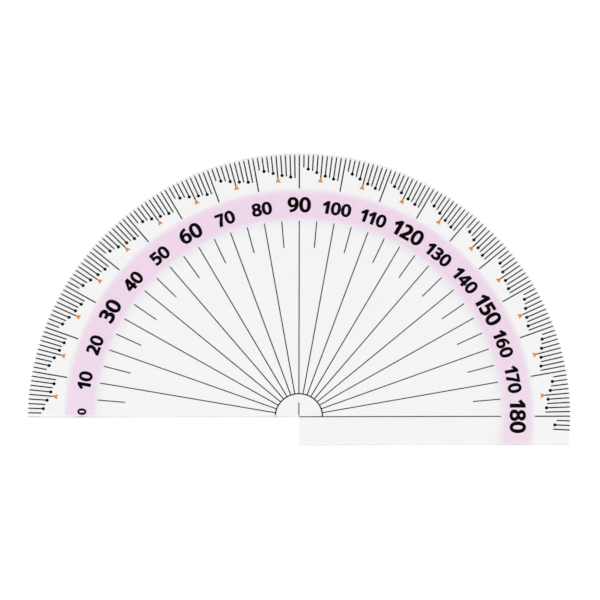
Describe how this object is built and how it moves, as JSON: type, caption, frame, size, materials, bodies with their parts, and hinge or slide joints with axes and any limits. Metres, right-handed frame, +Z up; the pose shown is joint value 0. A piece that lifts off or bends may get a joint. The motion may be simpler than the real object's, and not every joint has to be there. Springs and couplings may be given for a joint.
{
  "type": "protractor",
  "caption": "Clear half-disc protractor with a printed degree scale, a tinted number band and a lip below one half of its base line.",
  "frame": {"origin": "the protractor's centre point, where the straight edge meets the stop edge, on the underside", "axes": "+X along the base line from the centre point to 180 degrees, +Y from the centre point to 90 degrees, +Z up through the sheet from its printed underside"},
  "size_m": [0.15, 0.083, 0.002],
  "materials": {
    "clear_acrylic": "clear polished acrylic sheet",
    "black_ink": "satin printed ink",
    "pink_ink": "translucent printed ink",
    "orange_ink": "satin printed ink"
  },
  "bodies": {
    "root": {"base_line": "black_ink", "centre_arc": "black_ink", "centre_mark": "black_ink", "degree_marks_101_to_109": "black_ink", "degree_marks_111_to_119": "black_ink", "degree_marks_11_to_19": "black_ink", "degree_marks_121_to_129": "black_ink", "degree_marks_131_to_139": "black_ink", "degree_marks_141_to_149": "black_ink", "degree_marks_151_to_159": "black_ink", "degree_marks_161_to_169": "black_ink", "degree_marks_171_to_179": "black_ink", "degree_marks_181_to_183": "black_ink", "degree_marks_1_to_9": "black_ink", "degree_marks_21_to_29": "black_ink", "degree_marks_31_to_39": "black_ink", "degree_marks_41_to_49": "black_ink", "degree_marks_51_to_59": "black_ink", "degree_marks_61_to_69": "black_ink", "degree_marks_71_to_79": "black_ink", "degree_marks_81_to_89": "black_ink", "degree_marks_91_to_99": "black_ink", "five_degree_pointers": "orange_ink", "five_degree_rays": "black_ink", "numeral_0": "black_ink", "numeral_10": "black_ink", "numeral_100": "black_ink", "numeral_110": "black_ink", "numeral_120": "black_ink", "numeral_130": "black_ink", "numeral_140": "black_ink", "numeral_150": "black_ink", "numeral_160": "black_ink", "numeral_170": "black_ink", "numeral_180": "black_ink", "numeral_20": "black_ink", "numeral_30": "black_ink", "numeral_40": "black_ink", "numeral_50": "black_ink", "numeral_60": "black_ink", "numeral_70": "black_ink", "numeral_80": "black_ink", "numeral_90": "black_ink", "pink_band": "pink_ink", "plate": "clear_acrylic", "ten_degree_marks": "black_ink", "ten_degree_rays": "black_ink"}
  },
  "joints": []
}
